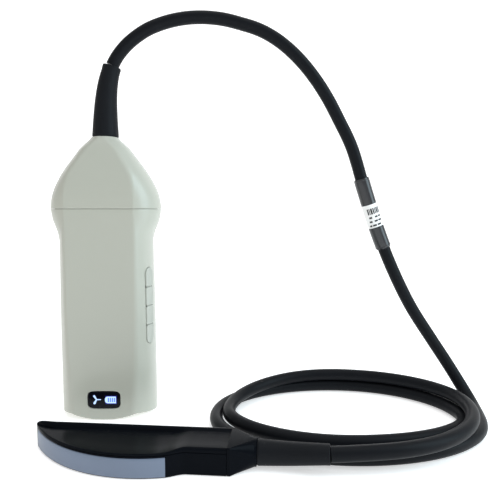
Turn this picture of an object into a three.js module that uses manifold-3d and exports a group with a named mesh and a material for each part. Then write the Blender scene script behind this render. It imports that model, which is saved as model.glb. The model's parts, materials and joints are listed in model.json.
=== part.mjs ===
// Handheld wireless veterinary ultrasound scanner with a corded rectal probe.
// Millimetres, +Z up. The origin is the centre of the scanner's flat base. The display
// faces -Y, the keys are on the +X side, and the cable arches to +X, coils on the
// surface and ends in the probe, which lies in front of the scanner.
import * as THREE from 'three';
import { mergeVertices } from 'three/addons/utils/BufferGeometryUtils.js';
import Module from 'manifold-3d';

// ---------------------------------------------------------------- driving dimensions
const GAP = 0.35;              // clearance between pieces that touch on the real object
const WALL = 2.0;              // housing and cap wall
const BODY_DEPTH = 18;         // half depth of the scanner, front face to centre plane
const SEAM_Z = 121;            // joint between the main housing and the top cap
const NECK_Z = 164;            // top of the cap, where the strain relief starts
const NECK_R = 8.6;

// Underside of the housing, below the scanner's own zero plane: half width of its flat middle,
// then how far it rises towards the sides
const UNDERSIDE = { low: -3, flat: 3, lift: 3.4, span: 16, reach: 34 };

// Scanner outline stations: [z, half width, half depth, half width of the flat front, corner radius]
const HOUSING_STATIONS = [
  [UNDERSIDE.low, 27.7, 17.0, 18.6, 2.6],
  [UNDERSIDE.low + 1.2, 28.7, BODY_DEPTH, 19.2, 3],
  [60, 28.0, BODY_DEPTH, 19.2, 3],
  [102, 27.4, BODY_DEPTH, 19.2, 3],
  [107, 28.4, BODY_DEPTH, 19.2, 3],
  [111, 30.0, BODY_DEPTH, 19.2, 3],
  [115, 31.5, BODY_DEPTH, 19.2, 3],
  [SEAM_Z - GAP / 2, 32.6, BODY_DEPTH, 19.2, 3],
];
const CAP_STATIONS = [
  [SEAM_Z + GAP / 2, 32.6, BODY_DEPTH, 19.2, 3],
  [126.5, 32.0, 18.0, 19.2, 3.2],
  [132.5, 30.2, 17.6, 18.6, 3.8],
  [138.6, 27.1, 16.7, 17.0, 4.4],
  [144.6, 23.4, 15.2, 14.0, 5.0],
  [150.7, 18.9, 13.3, 10.2, 5.4],
  [156.8, 13.8, 11.0, 6.0, 6.0],
  [162.4, NECK_R, NECK_R - 0.1, 1.0, 6.0],
  [NECK_Z, NECK_R, NECK_R - 0.1, 1.0, 6.0],
];

const WINDOW = { x: 0.7, z: 9.3, halfWidth: 9.5, halfHeight: 4.2, bow: 0.9, corner: 1.6 };
const KEYS = { x: 26.0, y: -7.8, turn: -20, low: 41, high: 86.5, width: 7.6, count: 4 };

const CABLE_R = 3.75;
const BOOT_PATH = [[0, 164.3], [0, 172], [0.5, 186], [1.5, 198], [3.1, 207]];
// Free cable from the strain relief to the coil, [x, y, z], laid by hand.
const ARCH_PATH = [
  [3.3, 0, 211.0], [4.5, 0, 215.2], [8.3, 0, 219.4], [15.2, 0, 223.6], [25.8, 0, 229],
  [37, 0, 233], [47.5, 0, 235.2], [58, 0.2, 235.9], [74, 1, 234.4], [92.5, 2, 228.8], [110.6, 3, 217.4],
  [122.2, 3.8, 205.2], [134.9, 5, 186.9], [147, 6, 161.5], [155.5, 7, 135.5], [163.5, 8, 111.3],
  [173, 9, 87], [184.9, 10, 62.8], [198, 11, 39.5], [205, 10.6, 27], [209.2, 9.6, 18.4],
];
const COIL = {
  centre: [140, -22], halfX: 79, halfY: 59.5, top: 15,
  holeCentre: [140.5, -13.3], holeX: 61.5, holeY: 36, roundness: 2.5,
};
const TAIL_PATH = [[140.7, -77.8, 10.3], [132.5, -77.9, 9.9], [124.3, -77.5, 9.4]];
const SLEEVE = { from: [152.4, 6.6, 145], to: [167.9, 8.5, 99.8], inner: 4.65, outer: 4.95 };
const LABEL = { from: [158.0, 7.3, 127.6], to: [163.6, 8.0, 111.2], inner: 4.05, outer: 4.3 };

// Probe, in its own frame: x towards the cable from the handle's joint line, y away from the lens.
const PROBE = {
  place: [76.4, -69.1], turn: -4.9, tip: -144, halfWidth: 11.5, thickness: 14, wall: 1.8,
  split: 11, arcCentre: [-45.6, 51], arcRadius: 68, lensFrom: -142.4, lensTo: -74.6,
  lensLow: 0.9, lensHigh: 9.9, coneLength: 13.5, coneEndR: 6.6,
};
const PROBE_BOOT_PATH = [[14.2, 0, 7], [18, -0.1, 7], [28, -1, 7.4], [38, -2.9, 8.5], [43, -3.7, 9],
  [47.6, -4.2, 9.3]];

// ---------------------------------------------------------------- materials
const finish = (color, roughness, metalness = 0, extra = {}) =>
  new THREE.MeshStandardMaterial({ color, roughness, metalness, ...extra });
const MATERIALS = {
  shell: finish(0xd6d9d1, 0.35),
  key: finish(0xd2d6ce, 0.45),
  displayGlass: finish(0x05060a, 0.08),
  displayPanel: finish(0x14203a, 0.3),
  gasket: finish(0x2b2d30, 0.8),
  circuit: finish(0x1f5a35, 0.5),
  chip: finish(0x232427, 0.5),
  shield: finish(0xb9bcc0, 0.35, 0.9),
  steel: finish(0x9a9da2, 0.35, 1.0),
  copper: finish(0xb06a3a, 0.4, 1.0),
  battery: finish(0x2d4f86, 0.5),
  frame: finish(0x3a3c40, 0.6),
  boot: finish(0x121317, 0.5),
  cable: finish(0x16181c, 0.45),
  sleeve: finish(0xdfe5ea, 0.12, 0, { transparent: true, opacity: 0.35 }),
  label: finish(0xf2f2f0, 0.6),
  probe: finish(0x0a0c10, 0.12),
  lens: finish(0x7d8ca5, 0.45),
  ceramic: finish(0xc9c2ae, 0.7),
  epoxy: finish(0x4a4b46, 0.7),
};

// ---------------------------------------------------------------- solid tools
const wasm = await Module();
wasm.setup();

function toSolid(geometry) {
  const bare = geometry.clone();
  bare.deleteAttribute('normal');
  bare.deleteAttribute('uv');
  const merged = mergeVertices(bare, 1e-4);
  return new wasm.Manifold(new wasm.Mesh({
    numProp: 3,
    vertProperties: new Float32Array(merged.attributes.position.array),
    triVerts: new Uint32Array(merged.index.array),
  }));
}

function toGeometry(solid) {
  const mesh = solid.getMesh();
  const geometry = new THREE.BufferGeometry();
  geometry.setAttribute('position', new THREE.BufferAttribute(new Float32Array(mesh.vertProperties), 3));
  geometry.setIndex(new THREE.BufferAttribute(new Uint32Array(mesh.triVerts), 1));
  geometry.computeVertexNormals();
  return geometry;
}

const cut = (base, ...tools) =>
  toGeometry(tools.reduce((solid, tool) => solid.subtract(toSolid(tool)), toSolid(base)));
const join = (base, ...extras) =>
  toGeometry(extras.reduce((solid, extra) => solid.add(toSolid(extra)), toSolid(base)));

// ---------------------------------------------------------------- shape tools
const box = (width, depth, height, x, y, z) =>
  new THREE.BoxGeometry(width, depth, height).translate(x, y, z);

// Round bar along Y.
const rod = (radius, length, x, y, z, sides = 12) =>
  new THREE.CylinderGeometry(radius, radius, length, sides).translate(x, y, z);

// Turned piece about the Z axis from closed [radius, z] points.
const turned = (points, sides = 18) =>
  new THREE.LatheGeometry([...points, points[0]].map(([r, z]) => new THREE.Vector2(r, z)), sides)
      .rotateX(Math.PI / 2);

// The shape's outline as straight runs, without the doubled points where two curves meet.
function plainOutline(shape, curveSegments) {
  const points = shape.getPoints(curveSegments);
  const kept = points.filter((point, i) => point.distanceTo(points.at(i - 1)) > 0.01);
  const outline = new THREE.Shape(kept);
  outline.holes = shape.holes;
  return outline;
}

function extruded(shape, depth, curveSegments) {
  const settings = { depth, bevelEnabled: false, curveSegments };
  return new THREE.ExtrudeGeometry(plainOutline(shape, curveSegments), settings);
}

// Plate standing upright: a shape in X and Z, given thickness from frontY backwards.
const uprightPlate = (shape, frontY, thickness, curveSegments = 4) =>
  extruded(shape, thickness, curveSegments).rotateX(Math.PI / 2).translate(0, frontY + thickness, 0);

// Flat plate: a shape in X and Y, given height from lowZ up.
const flatPlate = (shape, lowZ, height, curveSegments = 8) =>
  extruded(shape, height, curveSegments).translate(0, 0, lowZ);

// Loft through rings of points, each ring running anticlockwise seen from its far end.
function loft(rings) {
  const rows = rings.length - 1;
  const sides = rings[0].length;
  const geometry = new THREE.CylinderGeometry(1, 1, rows, sides, rows);
  const position = geometry.attributes.position;
  const centres = rings.map((ring) =>
    ring.reduce((sum, point) => sum.add(point), new THREE.Vector3()).divideScalar(sides));
  for (let i = 0; i < position.count; i++) {
    const row = Math.round(position.getY(i) + rows / 2);
    const turn = Math.atan2(position.getX(i), position.getZ(i)) / (2 * Math.PI);
    const onAxis = Math.hypot(position.getX(i), position.getZ(i)) < 0.5;
    const side = (Math.round(turn * sides) + sides) % sides;
    const point = onAxis ? centres[row] : rings[row][side];
    position.setXYZ(i, point.x, point.y, point.z);
  }
  geometry.computeVertexNormals();
  return geometry;
}

// Tapered round solid along a curve, with its radius as a function of 0 to 1 along it.
function taperedTube(curve, radiusAt, steps, sides = 12) {
  const frames = curve.computeFrenetFrames(steps, false);
  const rings = [];
  for (let i = 0; i <= steps; i++) {
    const centre = curve.getPointAt(i / steps);
    const radius = radiusAt(i / steps);
    const ring = [];
    for (let j = 0; j < sides; j++) {
      const angle = (2 * Math.PI * j) / sides;
      ring.push(centre.clone()
        .addScaledVector(frames.normals[i], radius * Math.cos(angle))
        .addScaledVector(frames.binormals[i], radius * Math.sin(angle)));
    }
    rings.push(ring);
  }
  return loft(rings);
}

function roundTube(curve, radius, steps, sides = 10) {
  const section = new THREE.Shape();
  section.absarc(0, 0, radius, 0, 2 * Math.PI);
  const settings = { steps, extrudePath: curve, bevelEnabled: false, curveSegments: sides / 2 };
  return new THREE.ExtrudeGeometry(section, settings);
}

const curveThrough = (points) =>
  new THREE.CatmullRomCurve3(points.map((point) => new THREE.Vector3(...point)), false, 'centripetal');

// ---------------------------------------------------------------- scanner outline
const SIDE_STEPS = 3;
const CORNER_STEPS = 2;

// One level of the scanner: flat front and back, arched sides and rounded corners between them.
function outlineRing([z, halfWidth, halfDepth, flat, corner]) {
  const overhang = flat - halfWidth;
  const sideRadius = (corner ** 2 - (halfDepth - corner) ** 2 - overhang ** 2) / (2 * (overhang + corner));
  const sideCentre = halfWidth - sideRadius;
  const meet = Math.atan2(halfDepth - corner, flat - sideCentre);
  const quarter = [];
  for (let i = 0; i <= SIDE_STEPS; i++) {
    const angle = (meet * i) / SIDE_STEPS;
    quarter.push([sideCentre + sideRadius * Math.cos(angle), sideRadius * Math.sin(angle)]);
  }
  for (let i = 1; i <= CORNER_STEPS; i++) {
    const angle = meet + ((Math.PI / 2 - meet) * i) / CORNER_STEPS;
    quarter.push([flat + corner * Math.cos(angle), halfDepth - corner + corner * Math.sin(angle)]);
  }
  const back = [...quarter, ...quarter.map(([x, y]) => [-x, y]).reverse()];
  const front = back.slice(1, -1).map(([x, y]) => [x, -y]).reverse();
  return [...back, ...front].map(([x, y]) => new THREE.Vector3(x, y, z));
}

// The outline moved inwards by a distance, between two heights.
function insetStations(stations, inset) {
  return stations.map(([z, halfWidth, halfDepth, flat, corner]) =>
    [z, halfWidth - inset, halfDepth - inset,
      Math.max(flat - inset * 0.4, 0.8), Math.max(corner - inset * 0.6, 0.8)]);
}

const outlineSolid = (stations, inset = 0) => loft(insetStations(stations, inset).map(outlineRing));

// A ring that follows the seam's outline, between two insets and two heights.
function seamRing(insetOut, insetIn, lowZ, highZ) {
  const level = (z) => [z, 32.6, BODY_DEPTH, 19.2, 3];
  return cut(outlineSolid([level(lowZ), level(highZ)], insetOut),
    outlineSolid([level(lowZ - 1), level(highZ + 1)], insetIn));
}

function windowShape(grow = 0) {
  const { x, z, halfWidth, halfHeight, bow, corner } = WINDOW;
  const w = halfWidth + grow;
  const h = halfHeight + grow;
  const shape = new THREE.Shape();
  shape.moveTo(x - w + corner, z - h);
  shape.quadraticCurveTo(x, z - h - 2 * bow, x + w - corner, z - h);
  shape.quadraticCurveTo(x + w, z - h, x + w, z - h + corner);
  shape.lineTo(x + w, z + h - corner);
  shape.quadraticCurveTo(x + w, z + h, x + w - corner, z + h);
  shape.quadraticCurveTo(x, z + h + 2 * bow, x - w + corner, z + h);
  shape.quadraticCurveTo(x - w, z + h, x - w, z + h - corner);
  shape.lineTo(x - w, z - h + corner);
  shape.quadraticCurveTo(x - w, z - h, x - w + corner, z - h);
  return shape;
}

// ---------------------------------------------------------------- assembly tree
const scanner = new THREE.Group();
const unit = new THREE.Group();      // the handheld scanner, standing on its underside
unit.position.z = -UNDERSIDE.low;
const keypad = new THREE.Group();
keypad.position.set(KEYS.x, KEYS.y, 0);
keypad.rotation.z = THREE.MathUtils.degToRad(KEYS.turn);
const probe = new THREE.Group();
probe.position.set(...PROBE.place, 0);
probe.rotation.z = THREE.MathUtils.degToRad(PROBE.turn);
unit.add(keypad);
scanner.add(unit, probe);

function addPart(name, geometry, material, parent = unit) {
  const mesh = new THREE.Mesh(geometry, material);
  mesh.name = name;
  parent.add(mesh);
  return mesh;
}

// ---------------------------------------------------------------- housing and cap
// Outline of the key strip, or of one key in it, in the keypad's Y and Z, extruded along X.
function keyShape(low, high, halfWidth, roundLow, roundHigh) {
  const shape = new THREE.Shape();
  if (roundLow) shape.absarc(0, low + halfWidth, halfWidth, Math.PI, 2 * Math.PI);
  else {
    shape.moveTo(-halfWidth, low);
    shape.lineTo(halfWidth, low);
  }
  if (roundHigh) shape.absarc(0, high - halfWidth, halfWidth, 0, Math.PI);
  else {
    shape.lineTo(halfWidth, high);
    shape.lineTo(-halfWidth, high);
  }
  shape.closePath();
  return shape;
}

// Plate facing the keypad's +X: a shape in its Y and Z, from x = inner to x = outer.
const keyPlate = (shape, inner, outer) =>
  extruded(shape, outer - inner, 5).rotateX(Math.PI / 2).rotateZ(Math.PI / 2).translate(inner, 0, 0);

// The part of an upright plane below the curved underside, on one side of its flat middle.
function belowUnderside(rise, side) {
  const { low, flat, lift, span, reach } = UNDERSIDE;
  const height = (x) => low + rise + lift * Math.min(1, (x - flat) / span) ** 2;
  const shape = new THREE.Shape();
  shape.moveTo(side * flat, -reach);
  for (let x = flat; x < reach; x += 2) shape.lineTo(side * x, height(x));
  shape.lineTo(side * reach, height(reach));
  shape.lineTo(side * reach, -reach);
  shape.closePath();
  return uprightPlate(shape, -BODY_DEPTH - 1, 2 * BODY_DEPTH + 2);
}

function curveUnderside(solid, rise) {
  return cut(solid, belowUnderside(rise, -1), belowUnderside(rise, 1));
}

function addHousing() {
  const [bottom, ...upper] = HOUSING_STATIONS;
  const inside = outlineSolid([[UNDERSIDE.low + WALL, ...upper[0].slice(1)], ...upper.slice(1, -1),
    [SEAM_Z + 1, ...upper.at(-1).slice(1)]], WALL);
  const cavity = curveUnderside(inside, WALL);
  const outside = curveUnderside(outlineSolid([bottom, ...upper]), 0);
  const opening = uprightPlate(windowShape(GAP), -BODY_DEPTH - 1, WALL + 2);
  const slotShape = keyShape(KEYS.low - GAP, KEYS.high + GAP, KEYS.width / 2 + GAP, true, true);
  const slot = keyPlate(slotShape, -3.2, 3).applyMatrix4(keypadMatrix());
  addPart('main_housing', cut(outside, cavity, opening, slot), MATERIALS.shell);
}

function keypadMatrix() {
  keypad.updateMatrix();
  return keypad.matrix;
}

function addCap() {
  const top = CAP_STATIONS.at(-1);
  const cavity = outlineSolid([[SEAM_Z - 1, ...CAP_STATIONS[0].slice(1)], ...CAP_STATIONS.slice(1, -1),
    [NECK_Z + 1, ...top.slice(1)]], WALL);
  const shell = cut(outlineSolid(CAP_STATIONS), cavity);
  const shoulder = seamRing(1.2, 5.1, SEAM_Z + 0.5, SEAM_Z + 1.9);
  const skirt = seamRing(3.9, 5.1, SEAM_Z - 4.5, SEAM_Z + 0.8);
  addPart('top_cap', join(shell, shoulder, skirt), MATERIALS.shell);
  addPart('seam_gasket', seamRing(2.9, 3.5, SEAM_Z - 3.0, SEAM_Z - 1.6), MATERIALS.gasket);
}

function addDisplay() {
  addPart('display_window', uprightPlate(windowShape(), -BODY_DEPTH, 1.0), MATERIALS.displayGlass);
  const gasket = windowShape();
  const { x, z, halfWidth, halfHeight } = WINDOW;
  const view = new THREE.Path();
  view.moveTo(x - halfWidth + 1, z - halfHeight + 1);
  view.lineTo(x - halfWidth + 1, z + halfHeight - 1);
  view.lineTo(x + halfWidth - 1, z + halfHeight - 1);
  view.lineTo(x + halfWidth - 1, z - halfHeight + 1);
  view.closePath();
  gasket.holes.push(view);
  addPart('display_gasket', uprightPlate(gasket, -BODY_DEPTH + 1.35, 0.6), MATERIALS.gasket);
  addPart('oled_panel', box(20, 1.4, 11.6, x, -14.6, z), MATERIALS.displayPanel);
  const flex = new THREE.Shape();
  flex.moveTo(-13.5, 11.4);
  flex.lineTo(-2, 11.4);
  flex.lineTo(-2, 30);
  flex.lineTo(-2.3, 30);
  flex.lineTo(-2.3, 11.8);
  flex.lineTo(-13.5, 11.8);
  flex.closePath();
  const ribbon = keyPlate(flex, x - 4.5, x + 4.5);
  addPart('display_flex', ribbon, MATERIALS.copper);
}

// ---------------------------------------------------------------- side keys
function addKeypad() {
  const pitch = (KEYS.high - KEYS.low) / KEYS.count;
  const flangeGrow = 0.9;
  for (let i = 0; i < KEYS.count; i++) {
    const low = KEYS.low + pitch * i + (i === 0 ? 0 : GAP / 2);
    const high = KEYS.low + pitch * (i + 1) - (i === KEYS.count - 1 ? 0 : GAP / 2);
    const first = i === 0;
    const last = i === KEYS.count - 1;
    const cap = keyPlate(keyShape(low, high, KEYS.width / 2, first, last), -3.2, 0.55);
    const flangeHeight = pitch - 2 * flangeGrow - GAP;
    const flange = box(0.8, KEYS.width + 2 * flangeGrow, flangeHeight, -3.3, 0, (low + high) / 2);
    addPart(`side_key_${i + 1}`, join(cap, flange), MATERIALS.key, keypad);
    addPart(`tact_switch_${i + 1}`, box(0.8, 4.4, 4.4, -5.95, 0, (low + high) / 2), MATERIALS.steel, keypad);
  }
  const height = KEYS.high - KEYS.low + 2;
  const middle = (KEYS.high + KEYS.low) / 2;
  addPart('keypad_membrane', box(0.5, 8.4, height, -5.0, 0, middle), MATERIALS.gasket, keypad);
  addPart('key_board', box(1.0, 8.4, height, -7.25, 0, middle), MATERIALS.circuit, keypad);
}

// ---------------------------------------------------------------- inside the scanner
const SCREWS = [[-17, 28], [8, 28], [-17, 102], [8, 102]];

function addElectronics() {
  const holes = SCREWS.map(([x, z]) => rod(1.4, 8, x, 2, z));
  addPart('main_board', cut(box(33, 1.6, 86, -4.5, 0.8, 65), ...holes), MATERIALS.circuit);
  const window = box(18, 4, 24, 0, 2.9, 42);
  addPart('inner_chassis', cut(box(40, 1.6, 108, -1, 2.9, 62), window, ...holes), MATERIALS.frame);
  SCREWS.forEach(([x, z], i) => {
    const screw = turned([[0, -1.6], [2.1, -1.6], [2.1, -0.4], [1.0, -0.4], [1.0, 3.6], [0, 3.6]], 12);
    screw.rotateX(-Math.PI / 2).translate(x, 0, z);
    addPart(`chassis_screw_${i + 1}`, screw, MATERIALS.steel);
  });
  addPart('processor_shield', box(24, 2.6, 28, -5, -1.7, 74), MATERIALS.shield);
  addPart('power_inductor', box(8, 3.4, 8, -12, -2.1, 44), MATERIALS.chip);
  addPart('wifi_antenna', box(24, 0.8, 6, -4, -8, 112), MATERIALS.copper);
  addPart('battery_pack', box(38, 7.8, 64, -1, 8.1, 40), MATERIALS.battery);
  addPart('charging_ferrite', box(34, 0.6, 34, -1, 12.7, 40), MATERIALS.chip);
  const coil = turned([[9, -0.5], [15, -0.5], [15, 0.5], [9, 0.5]], 20)
    .rotateX(Math.PI / 2).translate(-1, 14.1, 40);
  addPart('charging_coil', coil, MATERIALS.copper);
  addPart('front_end_board', box(38, 1.6, 34, -1, 5.4, 92), MATERIALS.circuit);
  addPart('front_end_shield', box(28, 2.8, 22, -1, 8.0, 90), MATERIALS.shield);
  addPart('cable_header', box(22, 5, 6.4, 0, 9.1, 105.4), MATERIALS.frame);
}

function addCableEntry() {
  const bore = CABLE_R + GAP;
  const gland = [[bore, 152], [8.0, 152], [8.0, 154.6], [5.9, 154.6], [5.9, 163.9], [bore, 163.9]];
  addPart('cable_gland', turned(gland), MATERIALS.frame);
  const nut = [[4.8, 146.5], [8.6, 146.5], [8.6, 151.6], [4.8, 151.6]];
  addPart('gland_nut', turned(nut, 6), MATERIALS.steel);
  addPart('cable_clamp', turned([[bore, 133], [7.2, 133], [7.2, 138], [bore, 138]], 12), MATERIALS.steel);
  const pigtail = curveThrough([[0, 0, 163.8], [0, 0, 150], [0, 0, 139], [0, 0.3, 131],
    [0, 4.6, 122.5], [0, 8.4, 116], [0, 8.7, 109.4]]);
  addPart('cable_pigtail', roundTube(pigtail, CABLE_R - 0.1, 14, 8), MATERIALS.cable);
}

// ---------------------------------------------------------------- cable
function addCable() {
  const bootPath = curveThrough(BOOT_PATH.map(([x, z]) => [x, 0, z]));
  const bootRadius = (t) => THREE.MathUtils.lerp(7.3, 5.2, t);
  addPart('scanner_boot', taperedTube(bootPath, bootRadius, 8, 14), MATERIALS.boot);
  addPart('cable_arch', roundTube(curveThrough(ARCH_PATH), CABLE_R, 44, 10), MATERIALS.cable, scanner);

  const oval = (centre, halfX, halfY, power) => {
    const corner = (value) => Math.sign(value) * Math.abs(value) ** (2 / power);
    const points = [];
    for (let i = 0; i < 48; i++) {
      const angle = (2 * Math.PI * i) / 48;
      points.push(new THREE.Vector2(centre[0] + halfX * corner(Math.cos(angle)),
        centre[1] + halfY * corner(Math.sin(angle))));
    }
    return points;
  };
  const coil = new THREE.Shape(oval(COIL.centre, COIL.halfX, COIL.halfY, COIL.roundness));
  coil.holes.push(new THREE.Path(oval(COIL.holeCentre, COIL.holeX, COIL.holeY, 2)));
  const probeRoom = new THREE.Shape([[60, -120], [141, -120], [141, -72.4], [124, -71],
    [91, -60.4], [77, -54.9], [60, -53.2]]
    .map((point) => new THREE.Vector2(...point)));
  const ring = cut(flatPlate(coil, 0, COIL.top), flatPlate(probeRoom, -1, COIL.top + 2));
  addPart('cable_coil', ring, MATERIALS.cable, scanner);
  addPart('cable_tail', roundTube(curveThrough(TAIL_PATH), CABLE_R, 4, 10), MATERIALS.cable, scanner);

  // The sleeve and the label follow the cable between two of its points.
  const along = ({ from, to }) => curveThrough([from, ...archBetween(from, to), to]);
  const hollow = (piece) => cut(roundTube(along(piece), piece.outer, 5, 14),
    roundTube(stretched(along(piece)), piece.inner, 7, 14));
  addPart('clear_sleeve', hollow(SLEEVE), MATERIALS.sleeve, scanner);
  addPart('cable_label', hollow(LABEL), MATERIALS.label, scanner);
}

const archBetween = (from, to) =>
  ARCH_PATH.filter(([, , z]) => z < from[2] - 4 && z > to[2] + 4);

// The same curve with both ends carried on by 2 mm, for cutting a bore right through.
function stretched(curve) {
  const ends = [0, 1].map((t) => curve.getPointAt(t).addScaledVector(curve.getTangentAt(t), t ? 2 : -2));
  const middle = [0, 0.25, 0.5, 0.75, 1].map((t) => curve.getPointAt(t));
  return new THREE.CatmullRomCurve3([ends[0], ...middle, ends[1]], false, 'centripetal');
}

// ---------------------------------------------------------------- probe
const polar = (radius, degrees) => {
  const angle = THREE.MathUtils.degToRad(degrees);
  const [x, y] = PROBE.arcCentre;
  return [x + radius * Math.cos(angle), y + radius * Math.sin(angle)];
};

// Plan outline of the probe: straight back, rounded tip, arched lens side, step and handle.
function probeShape(inset = 0, end = 0) {
  const { halfWidth, arcCentre, arcRadius, tip, lensTo } = PROBE;
  const radius = arcRadius - inset;
  const back = halfWidth - inset;
  const tipAngle = tip + inset * 1.6;
  const tipEnd = polar(radius, tipAngle);
  const tipCorner = tipEnd[0] - (back - tipEnd[1]) * Math.tan(THREE.MathUtils.degToRad(tipAngle));
  const step = polar(radius, lensTo + 1);
  const shape = new THREE.Shape();
  shape.moveTo(end, back);
  shape.lineTo(tipCorner + 4, back);
  shape.quadraticCurveTo(tipCorner, back, ...tipEnd);
  shape.absarc(...arcCentre, radius, THREE.MathUtils.degToRad(tipAngle),
    THREE.MathUtils.degToRad(lensTo + 1), false);
  shape.bezierCurveTo(step[0] + 2.6, step[1] + 0.8, -22.5, -halfWidth + inset, -19, -halfWidth + inset);
  shape.lineTo(end, -halfWidth + inset);
  shape.closePath();
  return shape;
}

// A strip of the lens arc between two radii and two angles.
function arcStrip(inner, outer, from, to) {
  const [start, stop] = [from, to].map(THREE.MathUtils.degToRad);
  const shape = new THREE.Shape();
  shape.absarc(...PROBE.arcCentre, outer, start, stop, false);
  shape.absarc(...PROBE.arcCentre, inner, stop, start, true);
  shape.closePath();
  return shape;
}

function addProbeBody() {
  const { wall, split, thickness, arcRadius, lensFrom, lensTo, lensLow, lensHigh } = PROBE;
  const tray = flatPlate(probeShape(), 0, split - GAP / 2, 10);
  const hollow = flatPlate(probeShape(wall, 2), wall, split, 10);
  const lensGap = arcStrip(arcRadius - 3, arcRadius + 3, lensFrom - 0.3, lensTo + 0.3);
  const lensOpening = flatPlate(lensGap, lensLow - GAP, lensHigh - lensLow + 2 * GAP, 12);
  addPart('probe_lower_shell', cut(tray, hollow, lensOpening), MATERIALS.probe, probe);
  const lid = flatPlate(probeShape(), split + GAP / 2, thickness - split - GAP / 2, 10);
  const thumbRest = flatPlate(probeShape(3, 2), thickness - 0.9, 2, 10);
  addPart('probe_upper_shell', cut(lid, thumbRest), MATERIALS.probe, probe);
  const strip = arcStrip(arcRadius - 2.1, arcRadius + 0.2, lensFrom, lensTo);
  addPart('acoustic_lens', flatPlate(strip, lensLow, lensHigh - lensLow, 14), MATERIALS.lens, probe);
}

function addProbeInside() {
  const { arcRadius, lensFrom, lensTo, lensLow } = PROBE;
  const [from, to] = [lensFrom + 6, lensTo - 4];
  const array = arcStrip(arcRadius - 3.6, arcRadius - 2.45, from, to);
  addPart('transducer_array', flatPlate(array, lensLow + 1.4, 5.6, 12), MATERIALS.ceramic, probe);
  const backing = arcStrip(arcRadius - 10, arcRadius - 3.95, from + 6, to - 2);
  addPart('backing_block', flatPlate(backing, lensLow + 1.2, 6, 12), MATERIALS.epoxy, probe);
  const flex = arcStrip(arcRadius - 10.7, arcRadius - 10.35, from + 10, to - 2);
  addPart('array_flex', flatPlate(flex, lensLow + 1.4, 5.4, 12), MATERIALS.copper, probe);
  addPart('probe_termination_board', box(16, 14, 1.2, -12, 0, 3.6), MATERIALS.circuit, probe);
  addPart('probe_connector', box(6, 10, 3, -12, 0, 6.1), MATERIALS.frame, probe);
}

function addProbeCone() {
  const { halfWidth, thickness, coneLength, coneEndR } = PROBE;
  const sides = 16;
  // From the handle's chamfered rectangle to a circle, the flats narrowing on the way.
  const ring = (x, blend, inset) => {
    const points = [];
    for (let i = 0; i < sides; i++) {
      const angle = (2 * Math.PI * (i + 0.5)) / sides;
      const [c, s] = [Math.cos(angle), Math.sin(angle)];
      const high = thickness / 2;
      const squared = 1 / Math.max(Math.abs(c) / 1, Math.abs(s) / 1, (Math.abs(c) + Math.abs(s)) / 1.75);
      const handle = [halfWidth * c * squared, high * s * squared];
      const round = [coneEndR * c, coneEndR * s];
      points.push(new THREE.Vector3(x,
        THREE.MathUtils.lerp(handle[0], round[0], blend) * (1 - inset / 11),
        high + THREE.MathUtils.lerp(handle[1], round[1], blend) * (1 - inset / 6.4)));
    }
    return points;
  };
  const outer = loft([ring(GAP, 0, 0), ring(1.5, 0, 0), ring(coneLength, 1, 0)]);
  const inner = loft([ring(-1, 0, 1.9), ring(1.5, 0, 1.9), ring(coneLength - 1.6, 0.9, 1.9)]);
  const exit = new THREE.CylinderGeometry(3.2, 3.2, 10, 12).rotateZ(Math.PI / 2)
    .translate(coneLength, 0, thickness / 2);
  addPart('probe_collar', cut(outer, inner, exit), MATERIALS.probe, probe);
  const clamp = new THREE.CylinderGeometry(3.4, 3.4, 6, 12).rotateZ(Math.PI / 2)
    .translate(4.5, 0, thickness / 2);
  addPart('probe_cable_clamp', clamp, MATERIALS.steel, probe);
}

function addProbeBoot() {
  const path = curveThrough(PROBE_BOOT_PATH);
  const radiusAt = (t) => THREE.MathUtils.lerp(5.9, 4.75, t);
  addPart('probe_boot', taperedTube(path, radiusAt, 6, 14), MATERIALS.boot, probe);
}

addHousing();
addCap();
addDisplay();
addKeypad();
addElectronics();
addCableEntry();
addCable();
addProbeBody();
addProbeInside();
addProbeCone();
addProbeBoot();

export default scanner;
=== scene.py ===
"""Looks of the handheld veterinary ultrasound scanner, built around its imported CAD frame.

Shape values are in millimetres and turned into metres where a mesh is made.
"""
import json
import math

import bmesh
import bpy
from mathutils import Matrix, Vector


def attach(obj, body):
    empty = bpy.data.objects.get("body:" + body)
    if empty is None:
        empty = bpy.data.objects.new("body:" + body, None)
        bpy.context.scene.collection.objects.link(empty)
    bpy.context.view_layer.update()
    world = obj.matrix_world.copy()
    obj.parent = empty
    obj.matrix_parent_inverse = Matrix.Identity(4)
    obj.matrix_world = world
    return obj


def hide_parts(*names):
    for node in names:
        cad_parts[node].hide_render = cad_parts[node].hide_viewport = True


MM = 0.001
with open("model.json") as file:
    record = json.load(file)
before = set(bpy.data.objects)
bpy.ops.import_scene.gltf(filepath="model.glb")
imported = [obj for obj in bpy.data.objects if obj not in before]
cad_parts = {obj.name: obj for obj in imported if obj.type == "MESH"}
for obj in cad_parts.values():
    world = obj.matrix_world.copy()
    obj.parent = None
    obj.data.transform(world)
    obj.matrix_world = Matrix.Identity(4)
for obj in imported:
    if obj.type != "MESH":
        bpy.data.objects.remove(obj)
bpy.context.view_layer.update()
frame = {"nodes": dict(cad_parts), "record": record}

# ---------------------------------------------------------------- driving dimensions
WALL = 2.0
HALF_DEPTH = 18.0       # middle plane to the flat front
SEAM_Z = 124.0
SEAM_GAP = 0.14
NECK_Z = 166.3
NECK_R = 7.9
SKIRT_INSETS = (2.2, 2.8)      # outside and inside of the cap's skirt, from the cap's outside
SKIRT_DROP = 3

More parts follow.
